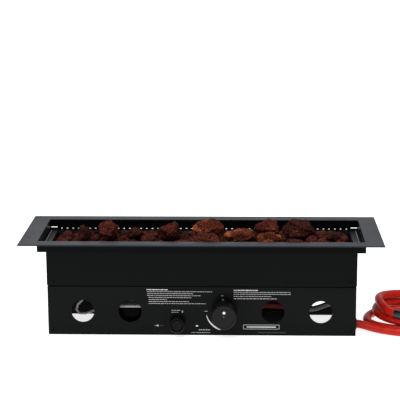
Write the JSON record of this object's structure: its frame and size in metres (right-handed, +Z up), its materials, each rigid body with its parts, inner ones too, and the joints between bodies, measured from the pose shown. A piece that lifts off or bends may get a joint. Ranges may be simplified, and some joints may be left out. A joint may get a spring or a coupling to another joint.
{
  "type": "drop-in gas burner",
  "caption": "Rectangular drop-in gas fire burner with a flanged frame, lava stones in a pan, a control box with knob and igniter, a thermocouple inside, and a coiled gas hose with regulator.",
  "frame": {"origin": "centre of the burner's footprint, on the surface that the control box stands on (hose and regulator not counted)", "axes": "+X along the burner to its right end where the hose leaves, +Y from the control panel to the rear, +Z up"},
  "size_m": [0.765, 0.3123, 0.1842],
  "materials": {
    "frame_paint": "satin dark grey powder coat",
    "black_paint": "satin black powder coat",
    "pan_steel": "dark enamelled steel",
    "stainless_steel": "satin",
    "aluminium": "satin",
    "brass": "machined",
    "black_plastic": "satin moulded",
    "lava_stone": "rough porous",
    "red_hose": "smooth, slightly glossy",
    "black_rubber": "matt",
    "white_ceramic": "glazed",
    "grey_sheath": "woven glass-fibre sleeve"
  },
  "bodies": {
    "burner": {"burner_housing": "black_paint", "burner_pan": "pan_steel", "burner_saddle_left": "stainless_steel", "burner_saddle_right": "stainless_steel", "burner_tube": "stainless_steel", "control_box": "black_paint", "control_panel": "black_paint", "electrode_ceramic": "white_ceramic", "electrode_rod": "stainless_steel", "gas_hose": "red_hose", "gas_hose_coil": "red_hose", "gas_hose_tail": "red_hose", "hose_ferrule": "stainless_steel", "hose_grommet": "black_rubber", "hose_nozzle": "brass", "igniter_battery": "stainless_steel", "igniter_housing": "black_plastic", "igniter_spring": "stainless_steel", "ignition_lead": "red_hose", "injector_holder": "brass", "injector_jet": "brass", "inlet_pipe": "aluminium", "inner_hose": "red_hose", "lava_rock_01": "lava_stone", "lava_rock_02": "lava_stone", "lava_rock_03": "lava_stone", "lava_rock_04": "lava_stone", "lava_rock_05": "lava_stone", "lava_rock_06": "lava_stone", "lava_rock_07": "lava_stone", "lava_rock_08": "lava_stone", "lava_rock_09": "lava_stone", "lava_rock_10": "lava_stone", "lava_rock_11": "lava_stone", "lava_rock_fill": "lava_stone", "magnet_unit": "aluminium", "outlet_pipe": "aluminium", "panel_screw_1": "black_paint", "panel_screw_2": "black_paint", "panel_screw_3": "black_paint", "panel_screw_4": "black_paint", "pipe_bracket": "black_paint", "regulator_body": "aluminium", "rock_grate": "stainless_steel", "sensor_bracket": "stainless_steel", "spark_module": "black_plastic", "stem_spring": "stainless_steel", "thermocouple_lead": "grey_sheath", "thermocouple_nut": "brass", "thermocouple_probe": "stainless_steel", "top_frame": "frame_paint", "valve_body": "aluminium", "venturi_tube": "aluminium"},
    "valve_plug": {"valve_plug": "brass"},
    "knob": {"control_knob": "black_plastic", "valve_stem": "stainless_steel"},
    "igniter_cap": {"igniter_cap": "black_plastic"},
    "igniter_button": {"igniter_button": "black_plastic"},
    "air_shutter": {"air_shutter": "stainless_steel"},
    "regulator_nut": {"regulator_nut": "brass"}
  },
  "joints": [
    {"name": "knob_turn", "type": "hinge", "parent": "burner", "child": "valve_plug", "pos_m": [0.0383, -0.034, 0.042], "axis": [0, -1, 0], "range_deg": [0, 180]},
    {"name": "knob_push", "type": "slide", "parent": "valve_plug", "child": "knob", "axis": [0, 1, 0], "range_m": [0, 0.005], "stiffness_N_per_m": 900, "springref_m": -0.002, "deforming": ["stem_spring"]},
    {"name": "igniter_cap_unscrew", "type": "hinge", "parent": "burner", "child": "igniter_cap", "pos_m": [-0.0405, -0.067, 0.0226], "axis": [0, -1, 0], "continuous": true},
    {"name": "igniter_push", "type": "slide", "parent": "igniter_cap", "child": "igniter_button", "axis": [0, 1, 0], "range_m": [0, 0.004], "stiffness_N_per_m": 700, "springref_m": -0.0015, "deforming": ["igniter_spring"]},
    {"name": "air_shutter_turn", "type": "hinge", "parent": "burner", "child": "air_shutter", "pos_m": [-0.16, 0, 0.0724], "axis": [0, 0, 1], "range_deg": [0, 45]},
    {"name": "regulator_nut_turn", "type": "hinge", "parent": "burner", "child": "regulator_nut", "pos_m": [0.437, 0.2015, 0.024], "axis": [0, -1, 0], "continuous": true}
  ]
}
